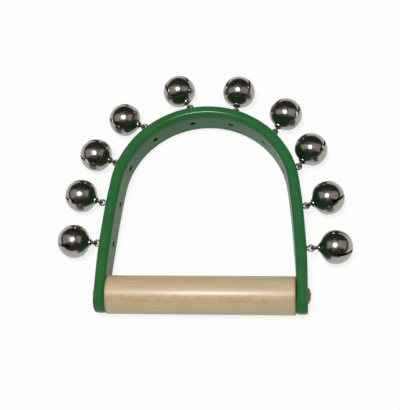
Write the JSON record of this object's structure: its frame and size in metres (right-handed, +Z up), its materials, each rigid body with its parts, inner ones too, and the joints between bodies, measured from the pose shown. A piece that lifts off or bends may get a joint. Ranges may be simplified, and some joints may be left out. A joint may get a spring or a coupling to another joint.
{
  "type": "jingle ring",
  "caption": "Hand percussion ring: a plastic arch band on a wooden grip, with plated jingle bells linked by wire loops to eye pins around its outside.",
  "frame": {"origin": "under the middle of the ring's outline, on the surface that it lies flat on", "axes": "+X along the handle to the right, +Y from the handle to the crown of the arch, +Z up out of the ring's plane"},
  "size_m": [0.1712, 0.151, 0.022],
  "materials": {
    "green_plastic": "moulded, glossy",
    "beech": "turned and lightly varnished",
    "nickel_plate": "bright nickel plate",
    "plated_wire": "bright plated wire",
    "screw_steel": "plain zinc plate, dulled",
    "pellet_steel": "plain steel ball"
  },
  "bodies": {
    "ring_frame": {"arch_band": "green_plastic", "handle_dowel": "beech", "handle_screw_left": "screw_steel", "handle_screw_right": "screw_steel", "eye_pin_01": "plated_wire", "eye_pin_02": "plated_wire", "eye_pin_03": "plated_wire", "eye_pin_04": "plated_wire", "eye_pin_05": "plated_wire", "eye_pin_06": "plated_wire", "eye_pin_07": "plated_wire", "eye_pin_08": "plated_wire", "eye_pin_09": "plated_wire", "eye_pin_10": "plated_wire"},
    "loop_01": {"bell_loop_01": "plated_wire"},
    "bell_01": {"bell_shell_01": "nickel_plate"},
    "pellet_01": {"bell_pellet_01": "pellet_steel"},
    "loop_02": {"bell_loop_02": "plated_wire"},
    "bell_02": {"bell_shell_02": "nickel_plate"},
    "pellet_02": {"bell_pellet_02": "pellet_steel"},
    "loop_03": {"bell_loop_03": "plated_wire"},
    "bell_03": {"bell_shell_03": "nickel_plate"},
    "pellet_03": {"bell_pellet_03": "pellet_steel"},
    "loop_04": {"bell_loop_04": "plated_wire"},
    "bell_04": {"bell_shell_04": "nickel_plate"},
    "pellet_04": {"bell_pellet_04": "pellet_steel"},
    "loop_05": {"bell_loop_05": "plated_wire"},
    "bell_05": {"bell_shell_05": "nickel_plate"},
    "pellet_05": {"bell_pellet_05": "pellet_steel"},
    "loop_06": {"bell_loop_06": "plated_wire"},
    "bell_06": {"bell_shell_06": "nickel_plate"},
    "pellet_06": {"bell_pellet_06": "pellet_steel"},
    "loop_07": {"bell_loop_07": "plated_wire"},
    "bell_07": {"bell_shell_07": "nickel_plate"},
    "pellet_07": {"bell_pellet_07": "pellet_steel"},
    "loop_08": {"bell_loop_08": "plated_wire"},
    "bell_08": {"bell_shell_08": "nickel_plate"},
    "pellet_08": {"bell_pellet_08": "pellet_steel"},
    "loop_09": {"bell_loop_09": "plated_wire"},
    "bell_09": {"bell_shell_09": "nickel_plate"},
    "pellet_09": {"bell_pellet_09": "pellet_steel"},
    "loop_10": {"bell_loop_10": "plated_wire"},
    "bell_10": {"bell_shell_10": "nickel_plate"},
    "pellet_10": {"bell_pellet_10": "pellet_steel"}
  },
  "joints": [
    {"name": "swing_01", "type": "hinge", "parent": "ring_frame", "child": "loop_01", "pos_m": [-0.06372, -0.03325, 0.011], "axis": [0.1005, 0.9949, 0], "range_deg": [-45, 55]},
    {"name": "turn_01", "type": "hinge", "parent": "loop_01", "child": "bell_01", "pos_m": [-0.07603, -0.03201, 0.00975], "axis": [0.9899, -0.1, 0.1005], "continuous": true},
    {"name": "roll_01", "type": "hinge", "parent": "bell_01", "child": "pellet_01", "pos_m": [-0.07603, -0.03201, 0.00975], "axis": [0.9899, -0.1, 0.1005], "continuous": true},
    {"name": "swing_02", "type": "hinge", "parent": "ring_frame", "child": "loop_02", "pos_m": [-0.06238, -0.00747, 0.011], "axis": [0.3393, 0.9407, 0], "range_deg": [-45, 55]},
    {"name": "turn_02", "type": "hinge", "parent": "loop_02", "child": "bell_02", "pos_m": [-0.07402, -0.00327, 0.00975], "axis": [0.9359, -0.3376, 0.1005], "continuous": true},
    {"name": "roll_02", "type": "hinge", "parent": "bell_02", "child": "pellet_02", "pos_m": [-0.07402, -0.00327, 0.00975], "axis": [0.9359, -0.3376, 0.1005], "continuous": true},
    {"name": "swing_03", "type": "hinge", "parent": "ring_frame", "child": "loop_03", "pos_m": [-0.05582, 0.01824, 0.011], "axis": [0.4152, 0.9097, 0], "range_deg": [-45, 55]},
    {"name": "turn_03", "type": "hinge", "parent": "loop_03", "child": "bell_03", "pos_m": [-0.06707, 0.02338, 0.00975], "axis": [0.9051, -0.4131, 0.1005], "continuous": true},
    {"name": "roll_03", "type": "hinge", "parent": "bell_03", "child": "pellet_03", "pos_m": [-0.06707, 0.02338, 0.00975], "axis": [0.9051, -0.4131, 0.1005], "continuous": true},
    {"name": "swing_04", "type": "hinge", "parent": "ring_frame", "child": "loop_04", "pos_m": [-0.03971, 0.04185, 0.011], "axis": [0.4128, 0.9108, 0], "range_deg": [-45, 55]},
    {"name": "turn_04", "type": "hinge", "parent": "loop_04", "child": "bell_04", "pos_m": [-0.05097, 0.04695, 0.00975], "axis": [0.9062, -0.4107, 0.1005], "continuous": true},
    {"name": "roll_04", "type": "hinge", "parent": "bell_04", "child": "pellet_04", "pos_m": [-0.05097, 0.04695, 0.00975], "axis": [0.9062, -0.4107, 0.1005], "continuous": true},
    {"name": "swing_05", "type": "hinge", "parent": "ring_frame", "child": "loop_05", "pos_m": [-0.01194, 0.0553, 0.011], "axis": [0.8513, 0.5247, 0], "range_deg": [-45, 55]},
    {"name": "turn_05", "type": "hinge", "parent": "loop_05", "child": "bell_05", "pos_m": [-0.01843, 0.06583, 0.00975], "axis": [0.5221, -0.847, 0.1005], "continuous": true},
    {"name": "roll_05", "type": "hinge", "parent": "bell_05", "child": "pellet_05", "pos_m": [-0.01843, 0.06583, 0.00975], "axis": [0.5221, -0.847, 0.1005], "continuous": true},
    {"name": "swing_06", "type": "hinge", "parent": "ring_frame", "child": "loop_06", "pos_m": [0.01701, 0.0528, 0.011], "axis": [0.9932, -0.1164, 0], "range_deg": [-45, 55]},
    {"name": "turn_06", "type": "hinge", "parent": "loop_06", "child": "bell_06", "pos_m": [0.0184, 0.06468, 0.00975], "axis": [-0.1158, -0.9878, 0.1039], "continuous": true},
    {"name": "roll_06", "type": "hinge", "parent": "bell_06", "child": "pellet_06", "pos_m": [0.0184, 0.06468, 0.00975], "axis": [-0.1158, -0.9878, 0.1039], "continuous": true},
    {"name": "swing_07", "type": "hinge", "parent": "ring_frame", "child": "loop_07", "pos_m": [0.04121, 0.03833, 0.011], "axis": [0.8828, -0.4698, 0], "range_deg": [-45, 55]},
    {"name": "turn_07", "type": "hinge", "parent": "loop_07", "child": "bell_07", "pos_m": [0.04702, 0.04925, 0.00975], "axis": [-0.4674, -0.8783, 0.1005], "continuous": true},
    {"name": "roll_07", "type": "hinge", "parent": "bell_07", "child": "pellet_07", "pos_m": [0.04702, 0.04925, 0.00975], "axis": [-0.4674, -0.8783, 0.1005], "continuous": true},
    {"name": "swing_08", "type": "hinge", "parent": "ring_frame", "child": "loop_08", "pos_m": [0.05566, 0.01578, 0.011], "axis": [0.8431, -0.5378, 0], "range_deg": [-45, 55]},
    {"name": "turn_08", "type": "hinge", "parent": "loop_08", "child": "bell_08", "pos_m": [0.0621, 0.02586, 0.00975], "axis": [-0.5349, -0.8385, 0.1039], "continuous": true},
    {"name": "roll_08", "type": "hinge", "parent": "bell_08", "child": "pellet_08", "pos_m": [0.0621, 0.02586, 0.00975], "axis": [-0.5349, -0.8385, 0.1039], "continuous": true},
    {"name": "swing_09", "type": "hinge", "parent": "ring_frame", "child": "loop_09", "pos_m": [0.0608, -0.00978, 0.011], "axis": [0.3998, -0.9166, 0], "range_deg": [-45, 55]},
    {"name": "turn_09", "type": "hinge", "parent": "loop_09", "child": "bell_09", "pos_m": [0.07177, -0.005, 0.00975], "axis": [-0.9116, -0.3977, 0.1039], "continuous": true},
    {"name": "roll_09", "type": "hinge", "parent": "bell_09", "child": "pellet_09", "pos_m": [0.07177, -0.005, 0.00975], "axis": [-0.9116, -0.3977, 0.1039], "continuous": true},
    {"name": "swing_10", "type": "hinge", "parent": "ring_frame", "child": "loop_10", "pos_m": [0.0637, -0.03621, 0.011], "axis": [0.077, -0.997, 0], "range_deg": [-45, 55]},
    {"name": "turn_10", "type": "hinge", "parent": "loop_10", "child": "bell_10", "pos_m": [0.07603, -0.03526, 0.00975], "axis": [-0.992, -0.0766, 0.1005], "continuous": true},
    {"name": "roll_10", "type": "hinge", "parent": "bell_10", "child": "pellet_10", "pos_m": [0.07603, -0.03526, 0.00975], "axis": [-0.992, -0.0766, 0.1005], "continuous": true}
  ]
}
